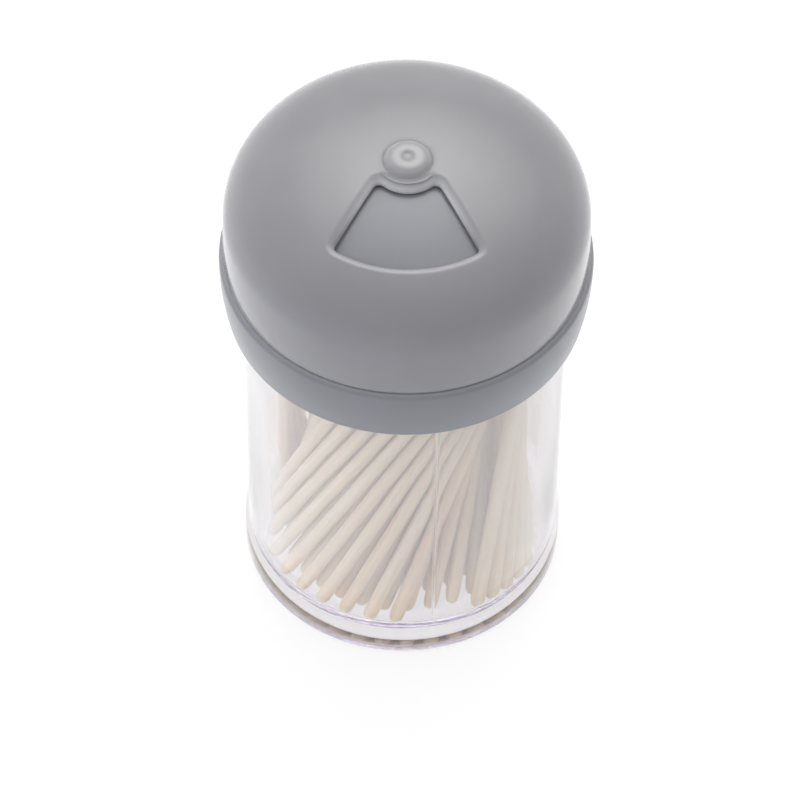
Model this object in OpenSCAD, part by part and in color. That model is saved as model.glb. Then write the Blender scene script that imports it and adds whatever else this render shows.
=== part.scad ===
// Toothpick dispenser: a clear jar of picks, a press-on inner lid and a dome cover that turns on it.
// The jar stands on z = 0 with its axis on Z. The cover's window faces -Y and the lid's hole +Y.

/* [Jar] */
// Outer radius of the jar's wall at its top
jar_r = 22; // [20:0.5:26]
// Wall thickness of the jar
jar_wall = 2; // [1.6:0.1:2.4]
// Height of the shoulder that the lid sits on
shoulder_z = 52.4; // [48:0.2:56]
// Height of the neck above the shoulder
neck_h = 8.6; // [8:0.2:9]
// Thickness of the clear base, its recess included
base_t = 4.7; // [3:0.1:6]

/* [Cap] */
// Height of the lid's collar band
collar_h = 9.5; // [9:0.1:12]
// How far the collar stands out from the jar's wall at its widest
collar_out = 3.35; // [3:0.05:4]
// Height of the dome cover's straight skirt
skirt_h = 7.2; // [4:0.1:9]
// Radius of the dome's shoulder
dome_shoulder_r = 9.2; // [7:0.1:11]
// Radius of the dome's flat crown
crown_r = 60; // [50:1:80]
// Wall thickness of the dome cover
dome_wall = 1.3; // [1.1:0.1:1.6]
// Wall thickness of the lid's inner dome
lid_wall = 1.2; // [1:0.1:1.4]

/* [Window] */
// Radius of the window's inner arc
window_r_in = 4.8; // [4.4:0.1:5.5]
// Radius of the window's outer arc
window_r_out = 16.5; // [13:0.5:17]
// Angle of each straight side of the window from the middle line
window_half = 29; // [20:1:32]
// How far the straight sides would meet behind the pivot
window_apex = 4.4; // [3:0.1:5]
// Width of the window's rolled edge
roll_w = 1.3; // [0.6:0.1:1.5]

/* [Toothpicks] */
// Length of a toothpick
pick_l = 65; // [58:1:66]
// Diameter of a toothpick
pick_d = 1.9; // [1.8:0.05:2.2]
// Lean of the outer layer of picks
pick_lean = 24.5; // [22:0.5:26]

/* [Hidden] */
$fa = 4;
$fs = 0.4;
overlap = 0.5;

// Jar
bore_r = jar_r - jar_wall;
shoulder_w = 0.5;
neck_r = jar_r - shoulder_w;
rim_z = shoulder_z + neck_h;
rim_edge = 0.3;
foot_h = 5.5;
foot_step = 0.4;
jar_draft = 0.25;
wall_foot_r = jar_r - jar_draft;
foot_round = 1.2;
floor_round = 1.5;
foot_ring_w = 5;
recess_r = jar_r - foot_ring_w;
recess_h = 0.8;
mould_line_turn = 12;
mould_line_w = 0.8;
mould_line_h = 0.12;
mould_line_gap = 0.2;

// Lid
sleeve_fit = 0.05;
seam_gap = 0.3;
collar_z = shoulder_z;
collar_top = collar_z + collar_h;
collar_r = jar_r + collar_out;
collar_flare = 0.8;
collar_foot_r = collar_r - collar_flare;
collar_round = 0.8;
flare_top = collar_top - collar_round;
flare_h = flare_top - collar_z - collar_round;
flare_r = (pow(flare_h, 2) + pow(collar_flare, 2)) / (2 * collar_flare);
sleeve_r = neck_r + sleeve_fit;
sleeve_wall = 1.1;
groove_draft = 0.2;
groove_z = collar_top - 2;

// Dome cover and the lid's dome under it
skirt_inset = 0.6;
skirt_draft = 0.1;
dome_r = collar_r - skirt_inset;
skirt_z = collar_top + seam_gap;
bend_z = skirt_z + skirt_h;
bend_c = dome_r - dome_shoulder_r;
crown_z = bend_z - sqrt(pow(crown_r - dome_shoulder_r, 2) - pow(bend_c, 2));
dome_gap = 0.3;
lid_inset = dome_wall + dome_gap;
lid_inner = lid_inset + lid_wall;
dome_top = crown_z + crown_r;
crown_turn = asin(bend_c / (crown_r - dome_shoulder_r));
crown_edge_r = crown_r * sin(crown_turn);
lid_top = dome_top - lid_inset;
ledge_edge = 0.3;
skirt_edge = 0.3;

// Nub and snap pin
nub_foot_r = 3.35;
nub_top_r = 2.3;
nub_h = 0.8;
nub_round = 0.4;
nub_sink = 0.1;
dimple_r = 0.5;
dimple_h = 0.25;
pin_r = 2;
pin_fit = 0.05;
pad_r = 3.4;
pad_z = lid_top + 0.05;
hub_r = 3.2;
hub_z = pad_z + pin_fit;
hub_top = dome_top - dome_wall / 2;
boss_r = 4.2;
boss_h = 2.1;
boss_z = lid_top - boss_h;
head_r = 2.5;
head_tip_r = 1.6;
head_h = 1.5;
head_band = 0.3;
head_gap = 0.1;
head_z = boss_z - head_gap;
slot_w = 0.8;
slot_top = boss_z + 0.8;

// Window
window_fillet = 0.9;
roll_d = 0.9;
roll_turns = [12, 30, 48, 66, 90];
roll_lip = 0.35;
roll_lip_h = 0.15;
arc_steps = 6;
hole_margin = 0.6;
lid_hole_z = collar_top;
cut_above = 5;
cut_below = 6;

// Picks: nested layers of sticks that all lean the same way round, so that no two meet. The second
// layer has as many sticks as the first and shows in the gaps between them.
tip_r = 0.7;
taper_l = 1.5;
wall_gap = 0.2;
pick_gap = 0.06;
layer_step = pick_d + 0.16;
nest_step = pick_d - 0.1;
nest_phase = 0.62;
end_r = bore_r - tip_r - wall_gap;
waist = sqrt(pow(end_r, 2) - pow(pick_l / 2 * sin(pick_lean), 2));
function layer_waist(i) = i == 0 ? waist : waist - nest_step - (i - 1) * layer_step;
nest_lean = asin(sqrt(pow(end_r - layer_step, 2) - pow(layer_waist(1), 2)) / (pick_l / 2));
function layer_lean(i) =
    i == 0 ? pick_lean : atan(tan(nest_lean) * layer_waist(i) / layer_waist(1));
// Angle between neighbours that leaves the gap between two leaning picks
function pitch(distance, lean) = 2 * asin(min(1, (pick_d + pick_gap) / (2 * distance * cos(lean))));
function room_in(i) = floor(360 / pitch(layer_waist(i), layer_lean(i)));
outer_count = min(room_in(0), room_in(1));
function layer_count(i) =
    i < 2 ? outer_count : layer_waist(i) < pick_d ? 1 : room_in(i);
function layer(i) =
    let (n = layer_count(i), phase = i == 1 ? nest_phase : 0)
    n == 1 ? [[0, 0, 0]]
        : [for (k = [1:n]) [layer_waist(i), layer_lean(i), 360 * (k + phase) / n]];

// Fans: at three places six picks of the outer layer give way to a few steeper ones nearer the wall.
// Each fan has its turn and how far out it stands, from 0 at the outer layer to 1 at the wall.
fans = [[80, 0.46], [175, 0.37], [270, 0.55]];
fan_out = 3;
outer_pitch = 360 / outer_count;
function fan_turn(fan) = (floor(fan[0] / outer_pitch) + 0.5) * outer_pitch;
function in_fan(turn) = len([for (fan = fans) if (abs(turn - fan_turn(fan)) < fan_out * outer_pitch) fan]) > 0;
function fan(fan) =
    let (
        distance = waist + fan[1] * (end_r - waist),
        lean = asin(sqrt(pow(end_r, 2) - pow(distance, 2)) / (pick_l / 2)),
        step = pitch(distance, lean),
        foot_shift = acos(waist / end_r) - acos(distance / end_r),
        margin = 1.6 * pick_d / end_r * 180 / PI,
        room = (fan_out + 0.5) * outer_pitch - foot_shift - margin,
        n = 1 + floor(2 * room / step)
    )
    [for (k = [0:n - 1]) [distance, lean, fan_turn(fan) + (k - (n - 1) / 2) * step]];
outer_picks = concat(
    [for (pick = layer(0)) if (!in_fan(pick[2])) pick],
    [for (f = fans) each fan(f)]
);
named_layers = [1, 2, 3];
core_layers = [4:1 + floor((waist - nest_step) / layer_step)];

function two_digits(n) = str(n < 10 ? "0" : "", n);
pick_names = [for (i = [1:len(outer_picks)]) str("toothpick_", two_digits(i))];
layer_names = [for (i = named_layers) str("toothpicks_layer_", i + 1)];

// Points of an arc from angle a to angle b, both ends included
function arc(x, y, r, a, b, n) =
    [for (i = [0:n]) let (t = a + (b - a) * i / n) [x + r * cos(t), y + r * sin(t)]];

module jar() {
    foot_r = wall_foot_r + foot_step;
    color([0.9, 0.92, 0.95, 0.35]) {
        rotate_extrude()
            polygon(concat(
                [[0, recess_h], [recess_r - recess_h, recess_h], [recess_r, 0]],
                arc(foot_r - foot_round, foot_round, foot_round, -90, 0, 6),
                [[foot_r, foot_h - foot_step], [wall_foot_r, foot_h], [jar_r, shoulder_z]],
                [[neck_r, shoulder_z], [neck_r, rim_z - rim_edge], [neck_r - rim_edge, rim_z]],
                [[bore_r + rim_edge, rim_z], [bore_r, rim_z - rim_edge]],
                arc(bore_r - floor_round, base_t + floor_round, floor_round, 0, -90, 6),
                [[0, base_t]]
            ));
        for (turn = [0, 180])
            rotate([0, 0, mould_line_turn + turn])
                mould_line();
    }
}

// A sliver of the wall, a little proud of it, where the two halves of the mould met
module mould_line() {
    out = mould_line_h;
    top_z = shoulder_z - mould_line_gap;
    rotate([0, 0, -90 - mould_line_w / 2])
        rotate_extrude(angle = mould_line_w)
            polygon([
                [wall_foot_r - jar_wall / 2, foot_h - overlap],
                [wall_foot_r + out, foot_h - overlap],
                [wall_foot_r + out, foot_h],
                [jar_r + out, top_z],
                [jar_r - jar_wall / 2, top_z]
            ]);
}

// Outline of the dome in section, drawn inwards by inset, from the axis to the skirt's foot
function dome_line(inset, foot_z) =
    concat(
        arc(0, crown_z, crown_r - inset, 90, 90 - crown_turn, 8),
        arc(bend_c, bend_z, dome_shoulder_r - inset, 82 - crown_turn, 0, 9),
        [[dome_r - inset + skirt_draft, foot_z]]
    );
function reversed(list) = [for (i = [len(list) - 1:-1:0]) list[i]];

module inner_lid() {
    color([0.6, 0.6, 0.62])
        difference() {
            union() {
                rotate_extrude()
                    polygon(concat(
                        dome_line(lid_inset, collar_top),
                        collar_line(),
                        reversed(dome_line(lid_inner, rim_z + ledge_edge))
                    ));
                translate([0, 0, lid_top - lid_wall])
                    cylinder(r = pad_r, h = pad_z - lid_top + lid_wall);
                translate([0, 0, boss_z])
                    cylinder(r = boss_r, h = boss_h - lid_wall / 2);
            }
            translate([0, 0, boss_z - cut_below])
                cylinder(r = pin_r + pin_fit, h = boss_h + cut_below + cut_above);
            rotate([0, 0, 180])
                translate([0, 0, lid_hole_z])
                    linear_extrude(dome_top - lid_hole_z)
                        polygon(window_outline(-hole_margin));
        }
}

// The collar in section, from its top round the flared outside and the groove to the sleeve on the neck
function collar_line() =
    let (
        foot_c = collar_foot_r - collar_round,
        groove_in = sleeve_r + sleeve_wall
    )
    concat(
        arc(collar_r - collar_round, flare_top, collar_round, 90, 0, 5),
        arc(collar_r - flare_r, flare_top, flare_r, -2, -asin(flare_h / flare_r), 7),
        arc(foot_c, collar_z + collar_round, collar_round, -10, -90, 4),
        [[foot_c + groove_draft, groove_z], [groove_in, groove_z], [groove_in, collar_z]],
        [[sleeve_r, collar_z], [sleeve_r, rim_z], [dome_r - lid_inner, rim_z]]
    );

// Right half of the window's outline in plan, moved outwards by off, from the front to the back
function window_corner(r, fillet) =
    let (
        n = [cos(window_half), sin(window_half)],
        d = [sin(window_half), -cos(window_half)],
        q = window_apex * sin(window_half) - fillet
    )
    q * n + sqrt(pow(r, 2) - pow(q, 2)) * d;
function window_right(off) =
    let (
        outer = window_corner(window_r_out - window_fillet, window_fillet),
        inner = window_corner(window_r_in + window_fillet, window_fillet),
        outer_turn = atan2(outer[1], outer[0]),
        inner_turn = atan2(inner[1], inner[0]),
        f = window_fillet + off
    )
    concat(
        arc(0, 0, window_r_out + off, -90, outer_turn - 3, arc_steps + 2),
        arc(outer[0], outer[1], f, outer_turn, window_half, arc_steps),
        [for (t = [0.2:0.2:0.8]) (1 - t) * outer + t * inner
            + f * [cos(window_half), sin(window_half)]],
        arc(inner[0], inner[1], f, window_half, 180 + inner_turn, arc_steps),
        arc(0, 0, window_r_in - off, inner_turn - 4, -90, 4)
    );
function window_outline(off) =
    let (right = window_right(off), last = len(right) - 1)
    concat(right, [for (i = [last - 1:-1:1]) [-right[i][0], right[i][1]]]);

// Height of the dome's outer surface over a point of the plan
function dome_height(p) =
    let (r = norm(p))
    r < crown_edge_r
        ? crown_z + sqrt(pow(crown_r, 2) - r * r)
        : bend_z + sqrt(pow(dome_shoulder_r, 2) - pow(r - bend_c, 2));

// The window's cutter: straight below, then flaring out over the rolled edge up to the crown
module window_cutter() {
    low = dome_top - dome_wall - cut_below;
    high = dome_top + cut_above;
    outline = window_outline(0);
    lip = window_outline(roll_w + roll_lip);
    n = len(outline);
    rings = concat(
        [[for (p = outline) [p[0], p[1], low]]],
        [for (i = [len(roll_turns) - 1:-1:0])
            let (t = roll_turns[i])
            [for (p = window_outline(roll_w * (1 - sin(t))))
                [p[0], p[1], dome_height(p) - roll_d * (1 - cos(t))]]],
        [[for (p = lip) [p[0], p[1], dome_height(p) + roll_lip_h]]],
        [[for (p = lip) [p[0], p[1], high]]]
    );
    m = len(rings);
    middle = -(window_r_in + window_r_out) / 2;
    points = concat(
        [for (ring = rings) each ring],
        [[0, middle, low], [0, middle, high]]
    );
    faces = concat(
        [for (k = [0:m - 2], i = [0:n - 1])
            let (j = (i + 1) % n, a = k * n + i, b = k * n + j)
            each [[a, a + n, b], [b, a + n, b + n]]],
        [for (i = [0:n - 1]) [m * n, i, (i + 1) % n]],
        [for (i = [0:n - 1]) [m * n + 1, (m - 1) * n + (i + 1) % n, (m - 1) * n + i]]
    );
    polyhedron(points, faces);
}

module dome_cover() {
    color([0.64, 0.63, 0.65])
        difference() {
            union() {
                difference() {
                    rotate_extrude()
                        polygon(concat(
                            dome_line(0, skirt_z + skirt_edge),
                            [[dome_r + skirt_draft - skirt_edge, skirt_z]],
                            reversed(dome_line(dome_wall, skirt_z))
                        ));
                    window_cutter();
                }
                nub();
                snap_pin();
            }
            translate([-slot_w / 2, -hub_r, head_z - head_h - overlap])
                cube([slot_w, 2 * hub_r, slot_top - head_z + head_h + overlap]);
        }
}

module nub() {
    foot_z = dome_top - dome_wall / 2;
    top_z = dome_top + nub_h;
    rotate_extrude()
        polygon(concat(
            [[0, foot_z], [nub_foot_r, foot_z]],
            arc(nub_foot_r, dome_top - nub_sink + nub_round, nub_round, -90, -150, 4),
            arc(nub_top_r - nub_round, top_z - nub_round, nub_round, 40, 90, 4),
            [[dimple_r + dimple_h, top_z], [dimple_r, top_z - dimple_h], [0, top_z - dimple_h]]
        ));
}

// Hub that rides on the lid's pad, the pin through the lid and the split head that holds it
module snap_pin() {
    rotate_extrude()
        polygon([
            [0, head_z - head_h], [head_tip_r, head_z - head_h], [head_r, head_z - head_band],
            [head_r, head_z], [pin_r, head_z], [pin_r, hub_z], [hub_r, hub_z],
            [hub_r, hub_top], [0, hub_top]
        ]);
}

module pick() {
    rotate_extrude($fn = 24)
        polygon([
            [0, 0], [tip_r, 0], [pick_d / 2, taper_l],
            [pick_d / 2, pick_l - taper_l], [tip_r, pick_l], [0, pick_l]
        ]);
}

// Picks leaning sideways with their feet on the base, each given by how far its middle passes from the
// jar's axis, its lean and its turn round the axis
module standing_picks(picks) {
    color([0.87, 0.77, 0.64])
        for (p = picks)
            rotate([0, 0, p[2]])
                translate([0, -p[0], base_t + pick_l / 2 * cos(p[1]) + tip_r * sin(p[1])])
                    rotate([0, p[1], 0])
                        translate([0, 0, -pick_l / 2])
                            pick();
}

jar();
inner_lid();
dome_cover();
for (i = [0:len(outer_picks) - 1])
    standing_picks([outer_picks[i]]);
for (i = [0:len(named_layers) - 1])
    standing_picks(layer(named_layers[i]));
standing_picks([for (i = core_layers) each layer(i)]);  // toothpicks_core
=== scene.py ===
"""Looks of the toothpick dispenser: clear jar, wooden picks, grey inner lid and dome cover."""
import math

import bmesh
import bpy
import numpy as np
from mathutils import Matrix, Vector
from mathutils.geometry import delaunay_2d_cdt


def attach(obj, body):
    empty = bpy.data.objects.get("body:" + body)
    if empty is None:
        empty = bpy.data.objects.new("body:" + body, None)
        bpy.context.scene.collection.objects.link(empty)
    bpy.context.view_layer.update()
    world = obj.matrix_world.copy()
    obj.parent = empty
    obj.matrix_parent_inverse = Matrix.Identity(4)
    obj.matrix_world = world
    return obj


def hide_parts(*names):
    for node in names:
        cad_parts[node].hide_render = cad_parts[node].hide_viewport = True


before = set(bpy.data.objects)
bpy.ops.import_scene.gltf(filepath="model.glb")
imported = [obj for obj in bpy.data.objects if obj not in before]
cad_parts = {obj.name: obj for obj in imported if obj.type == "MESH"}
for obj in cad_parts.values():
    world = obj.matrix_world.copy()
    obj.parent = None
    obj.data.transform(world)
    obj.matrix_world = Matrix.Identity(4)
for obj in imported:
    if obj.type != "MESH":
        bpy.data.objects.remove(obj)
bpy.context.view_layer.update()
MM = 0.001

# ---- Sizes of the solids, in millimetres
JAR_R, JAR_WALL, SHOULDER_Z, NECK_H, BASE_T = 22, 2, 52.4, 8.6, 4.7
COLLAR_H, COLLAR_OUT, SKIRT_H = 9.5, 3.35, 7.2
DOME_SHOULDER_R, CROWN_R, DOME_WALL, LID_WALL = 9.2, 60, 1.3, 1.2
WINDOW_IN, WINDOW_OUT, WINDOW_HALF, WINDOW_APEX, ROLL_W, ROLL_D = 4.8, 16.5, 29, 4.4, 1.3, 0.9
WINDOW_FILLET = 0.9
BORE_R = JAR_R - JAR_WALL
NECK_R = JAR_R - 0.5
RIM_Z = SHOULDER_Z + NECK_H
COLLAR_Z = SHOULDER_Z
COLLAR_TOP = COLLAR_Z + COLLAR_H
COLLAR_R = JAR_R + COLLAR_OUT
DOME_R = COLLAR_R - 0.6
SKIRT_Z = COLLAR_TOP + 0.3
BEND_Z = SKIRT_Z + SKIRT_H
BEND_C = DOME_R - DOME_SHOULDER_R
CROWN_Z = BEND_Z - math.sqrt((CROWN_R - DOME_SHOULDER_R) ** 2 - BEND_C ** 2)
CROWN_TURN = math.degrees(math.asin(BEND_C / (CROWN_R - DOME_SHOULDER_R)))
DOME_TOP = CROWN_Z + CROWN_R
LID_INSET = DOME_WALL + 0.3
LID_INNER = LID_INSET + LID_WALL
LID_TOP = DOME_TOP - LID_INSET
PAD_R, PAD_Z = 3.4, LID_TOP + 0.05
PIN_R, HUB_R, BOSS_R, PIN_PLAY = 2, 3.2, 4.2, 0.05
BOSS_Z = LID_TOP - 2.1
HUB_Z = PAD_Z + 0.05
HEAD_Z = BOSS_Z - 0.1
HEAD_R, HEAD_TIP_R, HEAD_H, HEAD_BAND = 2.5, 1.6, 1.5, 0.3
SLOT_W, SLOT_TOP = 0.8, BOSS_Z + 0.8
NUB_ROOT_R, NUB_DIMPLE = 4.2, 0.57
# Radius and height over the dome's top, from the foot's fillet over the brow to the dimple
NUB = [(3.55, -0.1), (3.3, -0.05), (3.15, 0.04), (3.05, 0.2), (2.94, 0.36), (2.78, 0.5),
       (2.58, 0.62), (2.33, 0.71), (2.05, 0.77), (1.7, 0.8), (1.3, 0.8), (1, 0.78), (0.75, 0.7),
       (0.5, 0.62), (0.25, 0.58)]

# ---- Shares of painted light, a paler base colour that lifts the shade on the window's rolled lip, the nub and the collar's ledge
LIP_PAINTED_LIGHT = (0.05, 0.12, 0.2, 0.3, 0.42, 0.55, 0.7, 0.85, 1, 1)
LIP_FADE_FROM, LIP_FADE_OVER, LIP_FADE = WINDOW_OUT - 7, 6, 0.85
NUB_PAINTED_LIGHT, NUB_PAINTED_LIGHT_FROM = 0.12, 3
LEDGE_PAINTED_LIGHT = (0.3, 0.3, 0.3, 0.25, 0.2, 0.1, 0.05)

# ---- Fineness of the meshes
TURNS = 192
SHOULDER_STEPS, LIP_STEPS = 22, 12
FIELD_STEP, HIDDEN_STEP, ROW_SHARE, CLEAR_SHARE = 0.8, 1.4, 0.87, 0.6
MERGE = 1e-6


# ---- Meshes
def arc(x, y, r, a, b, n):
    turns = [math.radians(a + (b - a) * i / n) for i in range(n + 1)]
    return [(x + r * math.cos(t), y + r * math.sin(t)) for t in turns]


class Shell:
    """A mesh made of rings, bridges between them and triangulated fields."""

    def __init__(self):
        self.points = []
        self.faces = []
        # Each vertex's share of painted light, which pales the base colour where shade falls
        self.painted_light = {}

    def ring(self, points):
        start = len(self.points)
        self.points += [tuple(p) for p in points]
        return list(range(start, start + len(points)))

    def circle(self, r, z, turns=None):
        if r < MERGE:
            return self.ring([(0, 0, z)])
        turns = turns or [360 * i / TURNS for i in range(TURNS)]
        return self.ring([(r * math.cos(math.radians(t)), r * math.sin(math.radians(t)), z)
                          for t in turns])

    def bridge(self, a, b):
        """Joins two rings by quads, or a ring and a single point by triangles."""
        if len(a) == 1 or len(b) == 1:
            tip, ring = (a[0], b) if len(a) == 1 else (b[0], a)
            self.faces += [(ring[i], ring[(i + 1) % len(ring)], tip) for i in range(len(ring))]
            return
        n = len(a)
        self.faces += [(a[i], a[(i + 1) % n], b[(i + 1) % n], b[i]) for i in range(n)]

    def turned(self, profile, first=None, last=None, turns=None):
        """Bridges circles along a profile of (r, z), from a ring that exists to another."""
        rings = [self.circle(r, z, turns) for r, z in profile]
        rings = ([first] if first else []) + rings + ([last] if last else [])
        self.chain(rings)
        return rings

    def chain(self, rings):
        for a, b in zip(rings, rings[1:]):
            self.bridge(a, b)

    # Gives each ring's vertices a share of painted light
    def paint_light_on(self, rings, shares):
        for ring, share in zip(rings, shares):
            self.painted_light.update({i: share for i in ring})

    def field(self, outer, holes, height, step=FIELD_STEP):
        """Fills the plan from the outer ring to the holes with even triangles at height(x, y)."""
        rings = [outer] + holes
        ids = [i for ring in rings for i in ring]
        plan = [Vector(self.points[i][:2]) for i in ids]
        edges, at = [], 0
        for ring in rings:
            edges += [(at + k, at + (k + 1) % len(ring)) for k in range(len(ring))]
            at += len(ring)
        border = np.array([tuple(p) for p in plan])
        limit = max(np.hypot(border[:, 0], border[:, 1]))
        rows = int(limit / step / ROW_SHARE) + 1
        for j in range(-rows, rows + 1):
            for i in range(-rows, rows + 1):
                p = np.array([(i + 0.5 * (j % 2)) * step, j * step * ROW_SHARE])
                room = np.min(np.hypot(*(border - p).T))
                if np.hypot(*p) < limit and room > CLEAR_SHARE * step:
                    plan.append(Vector(p))
        verts, _, faces, origin, _, _ = delaunay_2d_cdt(plan, edges, [], 0, 1e-7, True)
        index = []
        for v, source in zip(verts, origin):
            if source and source[0] < len(ids):
                index.append(ids[source[0]])
            else:
                index.append(len(self.points))
                self.points.append((v.x, v.y, height(v.x, v.y)))
        loops = [[self.points[i][:2] for i in ring] for ring in holes]
        for face in faces:
            x = sum(verts[i].x for i in face) / len(face)
            y = sum(verts[i].y for i in face) / len(face)
            if not any(inside(x, y, loop) for loop in loops):
                self.faces.append(tuple(index[i] for i in face))

    def build(self, name, angle=28):
        mesh = bpy.data.meshes.new(name)
        mesh.from_pydata([(x * MM, y * MM, z * MM) for x, y, z in self.points], [], self.faces)
        # The shares of painted light go to the material as a vertex attribute
        painted_light = mesh.attributes.new("painted_light", "FLOAT", "POINT")
        painted_light.data.foreach_set("value", [self.painted_light.get(i, 0) for i in range(len(self.points))])
        return shown(mesh, angle)


def shown(mesh, angle):
    """An object of the mesh with its faces turned outwards, smooth up to the angle."""
    bm = bmesh.new()
    bm.from_mesh(mesh)
    bmesh.ops.recalc_face_normals(bm, faces=bm.faces)
    bm.to_mesh(mesh)
    bm.free()
    mesh.shade_smooth()
    mesh.set_sharp_from_angle(angle=math.radians(angle))
    obj = bpy.data.objects.new(mesh.name, mesh)
    bpy.context.scene.collection.objects.link(obj)
    return obj


def inside(x, y, loop):
    """Whether a point of the plan lies inside a closed outline."""
    odd = False
    for (x1, y1), (x2, y2) in zip(loop, loop[1:] + loop[:1]):
        if (y1 > y) != (y2 > y) and x < (x2 - x1) * (y - y1) / (y2 - y1) + x1:
            odd = not odd
    return odd


def dome_height(x, y, inset=0):
    """Height of the dome, or of a surface that lies inset under it."""
    r = math.hypot(x, y)
    if r < (CROWN_R - inset) * math.sin(math.radians(CROWN_TURN)):
        return CROWN_Z + math.sqrt((CROWN_R - inset) ** 2 - r * r)
    return BEND_Z + math.sqrt(max((DOME_SHOULDER_R - inset) ** 2 - (r - BEND_C) ** 2, 0))


def dome_sides(inset, foot_z):
    """Profile from the crown's edge round the shoulder to the skirt's foot."""
    draft = 0.1
    shoulder = arc(BEND_C, BEND_Z, DOME_SHOULDER_R - inset, 90 - CROWN_TURN, 0, SHOULDER_STEPS)
    return shoulder + [(DOME_R - inset + draft, foot_z)]


def window_corner(r, fillet):
    """Centre of the fillet between a straight edge and the arc of a radius."""
    half = math.radians(WINDOW_HALF)
    n = np.array([math.cos(half), math.sin(half)])
    d = np.array([math.sin(half), -math.cos(half)])
    q = WINDOW_APEX * math.sin(half) - fillet
    return q * n + math.sqrt(r * r - q * q) * d


def window_outline(off, steps=9):
    """The wedge's outline, moved outwards by off, from the outer arc's middle round to itself."""
    outer = window_corner(WINDOW_OUT - WINDOW_FILLET, WINDOW_FILLET)
    inner = window_corner(WINDOW_IN + WINDOW_FILLET, WINDOW_FILLET)
    outer_turn = math.degrees(math.atan2(outer[1], outer[0]))
    inner_turn = math.degrees(math.atan2(inner[1], inner[0]))
    half = math.radians(WINDOW_HALF)
    f = WINDOW_FILLET + off
    side = f * np.array([math.cos(half), math.sin(half)])
    right = arc(0, 0, WINDOW_OUT + off, -90, outer_turn - 3, 11)
    right += arc(outer[0], outer[1], f, outer_turn, WINDOW_HALF, steps)
    right += [tuple((1 - t) * outer + t * inner + side) for t in np.linspace(0.07, 0.93, 13)]
    right += arc(inner[0], inner[1], f, WINDOW_HALF, 180 + inner_turn, steps)
    right += arc(0, 0, WINDOW_IN - off, inner_turn - 4, -90, 5)
    return right + [(-x, y) for x, y in right[-2:0:-1]]


def make_cover():
    shell = Shell()
    foot_z = SKIRT_Z - 0.15
    foot = [(DOME_R + 0.02, foot_z + 0.09), (DOME_R - 0.2, foot_z)]
    within = dome_sides(DOME_WALL, foot_z)[::-1]
    rings = shell.turned(dome_sides(0, SKIRT_Z + 0.3) + foot + within)
    lips = []
    for t in np.linspace(0, 90, LIP_STEPS):
        drop = ROLL_D * (1 - math.cos(math.radians(t)))
        outline = window_outline(ROLL_W * (1 - math.sin(math.radians(t))))
        lips.append(shell.ring([(x, y, dome_height(x, y) - drop) for x, y in outline]))
    lips.append(shell.ring([(x, y, dome_height(x, y, DOME_WALL)) for x, y in window_outline(0)]))
    shell.chain(lips)
    # Painted light on the rolled lip, lifting the shade in the roll; it fades out towards the
    # window's outer arc
    for lip, share in zip(lips[-len(LIP_PAINTED_LIGHT):], LIP_PAINTED_LIGHT):
        for i in lip:
            outward = (math.hypot(*shell.points[i][:2]) - LIP_FADE_FROM) / LIP_FADE_OVER
            shell.painted_light[i] = share * (1 - LIP_FADE * np.clip(outward, 0, 1))
    # Nub outside, hub and snap pin inside
    root = shell.circle(NUB_ROOT_R, dome_height(NUB_ROOT_R, 0))
    nub = [(r, DOME_TOP + z) for r, z in NUB] + [(0, DOME_TOP + NUB_DIMPLE)]
    # The nub's upper rings get a share of painted light, a paler base colour that lifts their shade
    nub_rings = shell.turned(nub, first=root)[NUB_PAINTED_LIGHT_FROM:]
    shell.paint_light_on(nub_rings, [NUB_PAINTED_LIGHT] * len(nub_rings))
    shell.field(rings[0], [lips[0], root], dome_height)
    hub = shell.circle(HUB_R, dome_height(HUB_R, 0, DOME_WALL))
    shell.turned([(HUB_R, HUB_Z), (PIN_R, HUB_Z), (PIN_R, HEAD_Z), (HEAD_R, HEAD_Z),
                  (HEAD_R, HEAD_Z - HEAD_BAND), (HEAD_TIP_R, HEAD_Z - HEAD_H),
                  (0, HEAD_Z - HEAD_H)], first=hub)
    shell.field(rings[-1], [lips[-1], hub], lambda x, y: dome_height(x, y, DOME_WALL), HIDDEN_STEP)
    cover = shell.build("dome_cover_shell")
    # The slot that lets the snap pin's two halves spring together
    bpy.ops.mesh.primitive_cube_add(size=1)
    knife = bpy.context.object
    low = HEAD_Z - HEAD_H - 0.5
    knife.scale = (SLOT_W * MM, 2 * HUB_R * MM, (SLOT_TOP - low) * MM)
    knife.location = (0, 0, (SLOT_TOP + low) / 2 * MM)
    cut = cover.modifiers.new("slot", "BOOLEAN")
    cut.object = knife
    cut.operation = "DIFFERENCE"
    cut.solver = "EXACT"
    bpy.context.view_layer.objects.active = cover
    bpy.ops.object.modifier_apply(modifier="slot")
    bpy.data.objects.remove(knife)
    return cover


def collar_line():
    """The collar in section, from its top round the flared outside to the sleeve and the ledge."""
    round_r, flare, groove_w = 0.8, 0.8, 1.1
    flare_top = COLLAR_TOP - round_r
    flare_h = flare_top - COLLAR_Z - round_r
    flare_r = (flare_h ** 2 + flare ** 2) / (2 * flare)
    foot_c = COLLAR_R - flare - round_r
    groove_z = COLLAR_TOP - 2
    sleeve_r = NECK_R + 0.05
    return (arc(COLLAR_R - round_r, flare_top, round_r, 90, 0, 10)
            + arc(COLLAR_R - flare_r, flare_top, flare_r, -2,
                  -math.degrees(math.asin(flare_h / flare_r)), 10)
            + arc(foot_c, COLLAR_Z + round_r, round_r, -10, -90, 8)
            + [(foot_c + 0.2, groove_z), (sleeve_r + groove_w, groove_z),
               (sleeve_r + groove_w, COLLAR_Z), (sleeve_r, COLLAR_Z), (sleeve_r, RIM_Z),
               (DOME_R - LID_INNER, RIM_Z)])


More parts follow.
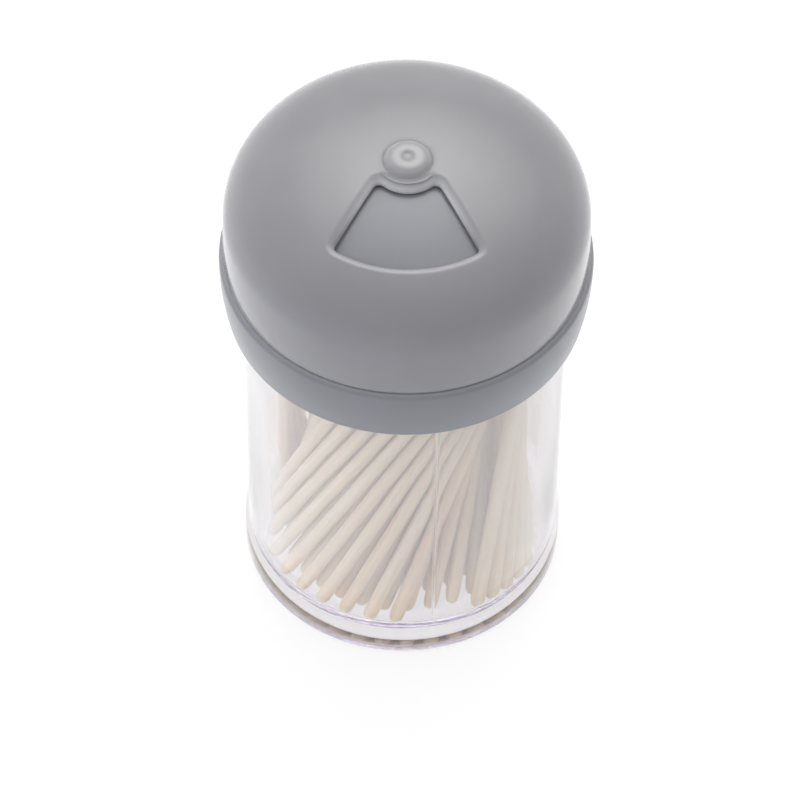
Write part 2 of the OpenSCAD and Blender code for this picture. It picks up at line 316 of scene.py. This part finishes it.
def make_lid():
    shell = Shell()
    outside = dome_sides(LID_INSET, COLLAR_TOP)
    rings = shell.turned(outside + collar_line() + dome_sides(LID_INNER, RIM_Z + 0.3)[::-1])
    # Painted light on the collar's top round and ledge under the skirt, a paler base colour that
    # lifts the shade falling there
    shell.paint_light_on(rings[len(outside) - 1:], LEDGE_PAINTED_LIGHT)
    hole_inset, edge_r = 0.6, 0.2

    def hole(off, inset, drop):
        outline = [(-x, -y) for x, y in window_outline(off - hole_inset)]
        return shell.ring([(x, y, dome_height(x, y, inset) - drop) for x, y in outline])

    edge = []
    for t in (0, 30, 60, 90):
        turn = math.radians(t)
        edge.append(hole(edge_r * (1 - math.sin(turn)), LID_INSET, edge_r * (1 - math.cos(turn))))
    edge.append(hole(0, LID_INNER, 0))
    shell.chain(edge)
    pad = shell.circle(PAD_R, dome_height(PAD_R, 0, LID_INSET))
    boss = shell.circle(BOSS_R, dome_height(BOSS_R, 0, LID_INNER))
    bearing_r = PIN_R + PIN_PLAY
    shell.turned([(PAD_R, PAD_Z), (bearing_r, PAD_Z), (bearing_r, BOSS_Z), (BOSS_R, BOSS_Z)],
                 first=pad, last=boss)
    shell.field(rings[0], [edge[0], pad], lambda x, y: dome_height(x, y, LID_INSET))
    shell.field(rings[-1], [edge[-1], boss], lambda x, y: dome_height(x, y, LID_INNER),
                HIDDEN_STEP)
    return shell.build("inner_lid_shell")


def make_jar():
    draft, foot_step, foot_h, foot_round, floor_round = 0.25, 0.4, 5.5, 1.2, 1.5
    wall_foot = JAR_R - draft
    foot_r = wall_foot + foot_step
    recess_r, recess_h, recess_round = JAR_R - 5, 0.8, 0.3
    roof_r = recess_r - recess_h - 0.4
    line_turns, line_half, line_h = (-78, 102), 0.4, 0.12
    outside = ([(0, recess_h), (roof_r, recess_h)]
               + arc(roof_r, recess_h - recess_round, recess_round, 90, 45, 4)[1:]
               + [(recess_r - 0.2, 0.2), (recess_r + 0.1, 0)]
               + arc(foot_r - foot_round, foot_round, foot_round, -90, 0, 16)
               + [(foot_r, foot_h - foot_step - 0.15), (foot_r - 0.06, foot_h - foot_step + 0.04),
                  (foot_r - 0.34, foot_h - 0.04), (wall_foot + 0.01, foot_h + 0.1)])
    wall = [(wall_foot + draft * t, foot_h + 0.1 + (SHOULDER_Z - foot_h - 0.2) * t)
            for t in np.linspace(0, 1, 24)[1:-1]]
    neck = [(JAR_R, SHOULDER_Z), (NECK_R, SHOULDER_Z), (NECK_R, RIM_Z - 0.3), (NECK_R - 0.3, RIM_Z),
            (BORE_R + 0.3, RIM_Z), (BORE_R, RIM_Z - 0.3)]
    within = arc(BORE_R - floor_round, BASE_T + floor_round, floor_round, 0, -90, 20)
    within.append((0, BASE_T))
    # Closer steps carry the fine mould line on each side of the wall
    close = [t + s * line_half for t in line_turns for s in np.linspace(-1.2, 1.2, 13)]
    turns = sorted(set([360 * i / TURNS - 180 for i in range(TURNS)] + close))
    shell = Shell()
    rings = [shell.circle(r, z, turns) for r, z in outside]
    for r, z in wall:
        ring = []
        for t in turns:
            near = min(abs(t - s) for s in line_turns)
            extra = line_h * math.exp(-(near / line_half) ** 2 * 2) if near < 1.3 * line_half else 0
            a = math.radians(t)
            ring.append(((r + extra) * math.cos(a), (r + extra) * math.sin(a), z))
        rings.append(shell.ring(ring))
    rings += [shell.circle(r, z, turns) for r, z in neck + within]
    shell.chain(rings)
    return shell.build("clear_jar", angle=40)


def picks_of(node):
    """Middle, direction and half length of each pick in a CAD node."""
    bm = bmesh.new()
    bm.from_mesh(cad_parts[node].data)
    bmesh.ops.remove_doubles(bm, verts=bm.verts, dist=MERGE)
    bm.verts.ensure_lookup_table()
    seen, found = set(), []
    for seed in bm.verts:
        if seed.index in seen:
            continue
        seen.add(seed.index)
        stack, island = [seed], []
        while stack:
            v = stack.pop()
            island.append(v.co[:])
            for e in v.link_edges:
                other = e.other_vert(v)
                if other.index not in seen:
                    seen.add(other.index)
                    stack.append(other)
        co = np.array(island)
        middle = (co.min(0) + co.max(0)) / 2
        direction = np.linalg.svd(co - co.mean(0), full_matrices=False)[2][0]
        direction *= math.copysign(1, direction[2])
        along = (co - middle) @ direction
        middle = middle + direction * (along.max() + along.min()) / 2
        found.append((middle, direction, (along.max() - along.min()) / 2))
    bm.free()
    return found


PICK_R, TIP_R, TAPER = 0.95 * MM, 0.7 * MM, 1.5 * MM
TIP_ROUND, END_SHARE, TAPER_POWER, FIT_SHARE = 0.15 * MM, 0.8, 0.94, 0.995
rng = np.random.default_rng(11)


def make_picks(node, name, sides=20):
    """The node's picks with a turned taper and worn ends, and each vertex's place in the grain."""
    points, faces, local = [], [], []
    for middle, direction, half in picks_of(node):
        side = np.cross(direction, (0, 1, 0))
        side /= np.linalg.norm(side)
        up = np.cross(direction, side)
        shift = rng.uniform(0, 100, 3)
        spin = rng.uniform(0, 2 * math.pi)
        stations = [(-half, TIP_R * END_SHARE), (-half + TIP_ROUND, TIP_R)]
        for t in (0.3, 0.55, 0.8):
            growth = math.sin(t * math.pi / 2) ** TAPER_POWER
            stations.append((-half + TAPER * t, TIP_R + (PICK_R - TIP_R) * growth))
        stations += [(z, PICK_R) for z in np.linspace(-half + TAPER, half - TAPER, 9)]
        stations += [(-z, r) for z, r in stations[4::-1]]
        rings = []
        for z, r in stations:
            r = min(r, PICK_R * FIT_SHARE)
            ring = []
            for k in range(sides):
                a = spin + 2 * math.pi * k / sides
                u, v = r * math.cos(a), r * math.sin(a)
                ring.append(len(points))
                points.append(tuple(middle + direction * z + side * u + up * v))
                local.append((u / MM + shift[0], v / MM + shift[1], z / MM + shift[2]))
            rings.append(ring)
        for a, b in zip(rings, rings[1:]):
            faces += [(a[i], a[(i + 1) % sides], b[(i + 1) % sides], b[i]) for i in range(sides)]
        faces += [tuple(rings[0][::-1]), tuple(rings[-1])]
    mesh = bpy.data.meshes.new(name)
    mesh.from_pydata(points, [], faces)
    grain = mesh.attributes.new("grain", "FLOAT_VECTOR", "POINT")
    grain.data.foreach_set("vector", np.array(local, np.float32).ravel())
    return shown(mesh, 40)


# ---- Materials
COVER_TINTS = (0.257, 0.253, 0.27), (0.275, 0.271, 0.288)
LID_TINTS = (0.222, 0.226, 0.249), (0.24, 0.244, 0.268)
WOOD = [(0.3, (0.9, 0.71, 0.52)), (0.5, (0.97, 0.815, 0.64)), (0.72, (0.98, 0.87, 0.72))]
STICK_TINTS = [(0, (0.97, 0.86, 0.77)), (0.35, (1, 0.94, 0.86)), (0.7, (1, 1, 0.98)),
               (1, (0.93, 0.9, 0.86))]
STREAKS = [(0.35, (0.9, 0.8, 0.72)), (0.6, (1, 1, 1))]
VEIL = 0.19


def new_material(name):
    mat = bpy.data.materials.new(name)
    mat.use_nodes = True
    nodes = mat.node_tree.nodes
    return mat, nodes, mat.node_tree.links, nodes["Principled BSDF"]


def noise(nodes, links, scale, detail, roughness, vector, stretch=None):
    """A noise's value at the vector, which stretch first scales axis by axis."""
    n = nodes.new("ShaderNodeTexNoise")
    n.inputs["Scale"].default_value = scale
    n.inputs["Detail"].default_value = detail
    n.inputs["Roughness"].default_value = roughness
    if stretch:
        m = nodes.new("ShaderNodeMapping")
        m.inputs["Scale"].default_value = stretch
        links.new(vector, m.inputs["Vector"])
        vector = m.outputs["Vector"]
    links.new(vector, n.inputs["Vector"])
    return n.outputs["Fac"]


def spread(nodes, links, value, low, high, start=0.3, end=0.7):
    """The value's range from start to end, mapped from low to high."""
    m = nodes.new("ShaderNodeMapRange")
    m.inputs["From Min"].default_value = start
    m.inputs["From Max"].default_value = end
    m.inputs["To Min"].default_value = low
    m.inputs["To Max"].default_value = high
    links.new(value, m.inputs["Value"])
    return m.outputs["Result"]


def ramp(nodes, links, value, stops):
    r = nodes.new("ShaderNodeValToRGB")
    while len(r.color_ramp.elements) < len(stops):
        r.color_ramp.elements.new(0.5)
    for e, (at, colour) in zip(r.color_ramp.elements, stops):
        e.position = at
        e.color = (*colour, 1)
    links.new(value, r.inputs["Fac"])
    return r.outputs["Color"]


def bump(nodes, links, shader, height, strength, distance):
    b = nodes.new("ShaderNodeBump")
    b.inputs["Strength"].default_value = strength
    b.inputs["Distance"].default_value = distance
    links.new(height, b.inputs["Height"])
    links.new(b.outputs["Normal"], shader.inputs["Normal"])


def mix_colours(nodes, links, first, second, share, blend="MIX"):
    """Two colours mixed; the second may be a constant, and so may the share."""
    m = nodes.new("ShaderNodeMix")
    m.data_type = "RGBA"
    m.blend_type = blend
    for value, socket in ((share, m.inputs[0]), (first, m.inputs[6]), (second, m.inputs[7])):
        if isinstance(value, bpy.types.NodeSocket):
            links.new(value, socket)
        else:
            socket.default_value = value
    return m.outputs[2]


def mix_shaders(nodes, links, share, first, second):
    m = nodes.new("ShaderNodeMixShader")
    links.new(share, m.inputs["Fac"])
    links.new(first, m.inputs[1])
    links.new(second, m.inputs[2])
    return m.outputs["Shader"]


def moulded_plastic(name, dark, light, rough, skin):
    """Satin moulded plastic: faint clouding of the tint, a fine spark-eroded grain, and painted
    light that pales the base colour by a vertex attribute.
    """
    mat, nodes, links, shader = new_material(name)
    place = nodes.new("ShaderNodeTexCoord").outputs["Object"]
    cloud = noise(nodes, links, 60, 3, 0.5, place)
    colour = ramp(nodes, links, cloud, [(0.35, dark), (0.65, light)])
    # Painted light: the base colour is mixed toward a pale grey by each vertex's share, to lift
    # shade
    painted_light = nodes.new("ShaderNodeAttribute")
    painted_light.attribute_name = "painted_light"
    painted_paler = mix_colours(nodes, links, colour, (0.78, 0.77, 0.79, 1), painted_light.outputs["Fac"])
    links.new(painted_paler, shader.inputs["Base Color"])
    shine = noise(nodes, links, 220, 4, 0.6, place)
    links.new(spread(nodes, links, shine, rough[0], rough[1]), shader.inputs["Roughness"])
    grain = noise(nodes, links, 4200, 2, 0.5, place)
    bump(nodes, links, shader, grain, 0.06, 0.00002)
    shader.inputs["IOR"].default_value = 1.49
    shader.inputs["Coat Weight"].default_value = skin
    shader.inputs["Coat Roughness"].default_value = 0.06
    shader.inputs["Subsurface Weight"].default_value = 0.7
    shader.inputs["Subsurface Radius"].default_value = (1, 0.95, 0.9)
    shader.inputs["Subsurface Scale"].default_value = 0.002
    return mat


def clear_plastic(name):
    """Clear polystyrene: tinted in the thick, faintly wavy, with a trace of haze up the wall."""
    mat, nodes, links, shader = new_material(name)
    shader.inputs["Base Color"].default_value = (0.99, 0.985, 0.99, 1)
    shader.inputs["Transmission Weight"].default_value = 1
    shader.inputs["IOR"].default_value = 1.5
    shader.inputs["Coat Weight"].default_value = 0.8
    shader.inputs["Coat Roughness"].default_value = 0.04
    place = nodes.new("ShaderNodeTexCoord").outputs["Object"]
    haze = noise(nodes, links, 140, 4, 0.6, place)
    links.new(spread(nodes, links, haze, 0.01, 0.05), shader.inputs["Roughness"])
    wave = noise(nodes, links, 90, 2, 0.5, place)
    bump(nodes, links, shader, wave, 0.1, 0.0004)
    clear = nodes.new("ShaderNodeBsdfTransparent")
    clear.inputs["Color"].default_value = (0.97, 0.97, 0.98, 1)
    veil = nodes.new("ShaderNodeBsdfDiffuse")
    veil.inputs["Color"].default_value = (0.98, 0.965, 0.96, 1)
    height = nodes.new("ShaderNodeSeparateXYZ")
    links.new(place, height.inputs["Vector"])
    share = spread(nodes, links, height.outputs["Z"], 0, VEIL, 6 * MM, 16 * MM)
    hazed = mix_shaders(nodes, links, share, shader.outputs["BSDF"], veil.outputs["BSDF"])
    # Light that falls through the wall reaches the picks
    path = nodes.new("ShaderNodeLightPath")
    surface = mix_shaders(nodes, links, path.outputs["Is Shadow Ray"], hazed, clear.outputs["BSDF"])
    links.new(surface, nodes["Material Output"].inputs["Surface"])
    tint = nodes.new("ShaderNodeVolumeAbsorption")
    tint.inputs["Color"].default_value = (0.81, 0.79, 0.835, 1)
    tint.inputs["Density"].default_value = 85
    links.new(tint.outputs["Volume"], nodes["Material Output"].inputs["Volume"])
    return mat


def birch(name):
    """Turned birch: long fibres along each stick, a tint of its own for each, dull surface."""
    mat, nodes, links, shader = new_material(name)
    place = nodes.new("ShaderNodeAttribute")
    place.attribute_name = "grain"
    place = place.outputs["Vector"]
    fibres = noise(nodes, links, 1, 5, 0.62, place, (2.2, 2.2, 0.07))
    streaks = noise(nodes, links, 1, 3, 0.5, place, (0.55, 0.55, 0.02))
    island = nodes.new("ShaderNodeNewGeometry").outputs["Random Per Island"]
    wood = ramp(nodes, links, fibres, WOOD)
    tinted = mix_colours(nodes, links, wood, ramp(nodes, links, island, STICK_TINTS), 1, "MULTIPLY")
    streaked = mix_colours(nodes, links, tinted, ramp(nodes, links, streaks, STREAKS), 0.5,
                           "MULTIPLY")
    links.new(streaked, shader.inputs["Base Color"])
    links.new(spread(nodes, links, fibres, 0.75, 0.5), shader.inputs["Roughness"])
    bump(nodes, links, shader, fibres, 0.35, 0.00012)
    shader.inputs["IOR"].default_value = 1.45
    shader.inputs["Subsurface Weight"].default_value = 0.6
    shader.inputs["Subsurface Radius"].default_value = (1, 0.7, 0.5)
    shader.inputs["Subsurface Scale"].default_value = 0.0015
    return mat


# ---- Pieces on their bodies
grey_cover = moulded_plastic("cover_grey", *COVER_TINTS, rough=(0.12, 0.17), skin=0.5)
grey_lid = moulded_plastic("lid_grey", *LID_TINTS, rough=(0.29, 0.35), skin=0.35)
jar_clear = clear_plastic("jar_clear")
birch_wood = birch("birch")


def dress(obj, node, body, material):
    obj.data.materials.append(material)
    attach(obj, body)
    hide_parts(node)


dress(make_cover(), "dome_cover", "cover_body", grey_cover)
dress(make_lid(), "inner_lid", "lid_body", grey_lid)
dress(make_jar(), "jar", "jar_body", jar_clear)
for node_name in sorted(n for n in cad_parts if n.startswith("toothpick")):
    sticks = make_picks(node_name, node_name.replace("toothpick", "stick"))
    dress(sticks, node_name, "jar_body", birch_wood)


# ---- Stage, lights and camera
BRIGHT_SIDE = Vector((-0.03, 0.5, 0.86))
FILL_DIM, FILL_BRIGHT = (0.16, 0.175, 0.205), (1.12, 1.11, 1.11)
FLOOR_HALF, FLOOR_Z = 3, -0.1 * MM


def seen_white(nodes, links, seen, other, output):
    """White for camera, glossy and transmission rays, the other shader for the rest."""
    path = nodes.new("ShaderNodeLightPath")
    total = path.outputs["Is Camera Ray"]
    for name in ("Is Glossy Ray", "Is Transmission Ray"):
        add = nodes.new("ShaderNodeMath")
        add.operation = "MAXIMUM"
        links.new(total, add.inputs[0])
        links.new(path.outputs[name], add.inputs[1])
        total = add.outputs[0]
    links.new(mix_shaders(nodes, links, total, other, seen), output.inputs["Surface"])


scene = bpy.context.scene
scene.view_settings.view_transform = "Standard"
# A thick clear base passes light on through many inner reflections
scene.cycles.max_bounces = 24
scene.cycles.glossy_bounces = 20
scene.cycles.transmission_bounces = 24
world = bpy.data.worlds.new("studio")
scene.world = world
world.use_nodes = True
wn, wl = world.node_tree.nodes, world.node_tree.links
fill = wn["Background"]
sky = wn.new("ShaderNodeTexCoord")
lean = wn.new("ShaderNodeVectorMath")
lean.operation = "DOT_PRODUCT"
lean.inputs[1].default_value = BRIGHT_SIDE.normalized()
wl.new(sky.outputs["Generated"], lean.inputs[0])
glow_share = spread(wn, wl, lean.outputs["Value"], 0, 1, -0.3, 0.9)
wl.new(ramp(wn, wl, glow_share, [(0, FILL_DIM), (1, FILL_BRIGHT)]), fill.inputs["Color"])
white = wn.new("ShaderNodeBackground")
white.inputs["Color"].default_value = (1, 1, 1, 1)
white.inputs["Strength"].default_value = 1
seen_white(wn, wl, white.outputs[0], fill.outputs[0], wn["World Output"])

floor_mesh = bpy.data.meshes.new("floor")
corners = ((-1, -1), (1, -1), (1, 1), (-1, 1))
floor_mesh.from_pydata([(x * FLOOR_HALF, y * FLOOR_HALF, FLOOR_Z) for x, y in corners], [],
                       [(0, 1, 2, 3)])
floor = bpy.data.objects.new("floor", floor_mesh)
scene.collection.objects.link(floor)
paper, nodes, links, shader = new_material("floor_paper")
shader.inputs["Base Color"].default_value = (0.89, 0.9, 0.94, 1)
shader.inputs["Roughness"].default_value = 0.9
shader.inputs["Specular IOR Level"].default_value = 0
glow = nodes.new("ShaderNodeEmission")
glow.inputs["Color"].default_value = (1, 1, 1, 1)
glow.inputs["Strength"].default_value = 0.8
soft = nodes.new("ShaderNodeBsdfDiffuse")
soft.inputs["Color"].default_value = (0.25, 0.25, 0.25, 1)
both = nodes.new("ShaderNodeAddShader")
links.new(glow.outputs[0], both.inputs[0])
links.new(soft.outputs[0], both.inputs[1])
seen_white(nodes, links, both.outputs[0], shader.outputs[0], nodes["Material Output"])
floor_mesh.materials.append(paper)


def softbox(name, at, aim, size, power, colour, spread_angle, reflected=True):
    light = bpy.data.lights.new(name, "AREA")
    light.shape = "RECTANGLE"
    light.size, light.size_y = size
    light.energy = power
    light.color = colour
    light.spread = math.radians(spread_angle)
    obj = bpy.data.objects.new(name, light)
    scene.collection.objects.link(obj)
    obj.visible_glossy = reflected
    obj.location = at
    obj.rotation_mode = "QUATERNION"
    obj.rotation_quaternion = (Vector(aim) - Vector(at)).to_track_quat("-Z", "Y")


softbox("key", (0.03, 0.69, 1.04), (0, 0, 0.07), (1.5, 1.4), 1.8, (1, 0.985, 0.97), 56)
softbox("left", (-0.85, -0.4, 0.4), (0, 0, 0.04), (0.8, 0.8), 2.4, (0.9, 0.96, 1), 180, False)

# The camera was fitted to the photograph's outlines, seen from this height and distance
FOCAL, DISTANCE, ELEVATION, SHIFT_X, AIM_Z, ROLL = 6818, 43.02, 51.69, -0.025, 1.336, 0.894
UNIT, PHOTO_W, SENSOR_W = JAR_R * MM, 800, 36
tilt, roll = math.radians(ELEVATION), math.radians(ROLL)
forward = Vector((0, math.cos(tilt), -math.sin(tilt)))
right = Vector((1, 0, 0))
up = right.cross(forward)
cam_x = right * math.cos(roll) + up * math.sin(roll)
cam_y = up * math.cos(roll) - right * math.sin(roll)
camera = bpy.data.objects.new("camera", bpy.data.cameras.new("camera"))
camera.data.sensor_width = SENSOR_W
camera.data.lens = FOCAL / PHOTO_W * SENSOR_W
camera.data.clip_start = 0.05
camera.data.clip_end = 20
scene.collection.objects.link(camera)
at = Vector((SHIFT_X, 0, AIM_Z)) * UNIT - forward * DISTANCE * UNIT
camera.matrix_world = Matrix((
    (cam_x.x, cam_y.x, -forward.x, at.x),
    (cam_x.y, cam_y.y, -forward.y, at.y),
    (cam_x.z, cam_y.z, -forward.z, at.z),
    (0, 0, 0, 1)))
scene.camera = camera
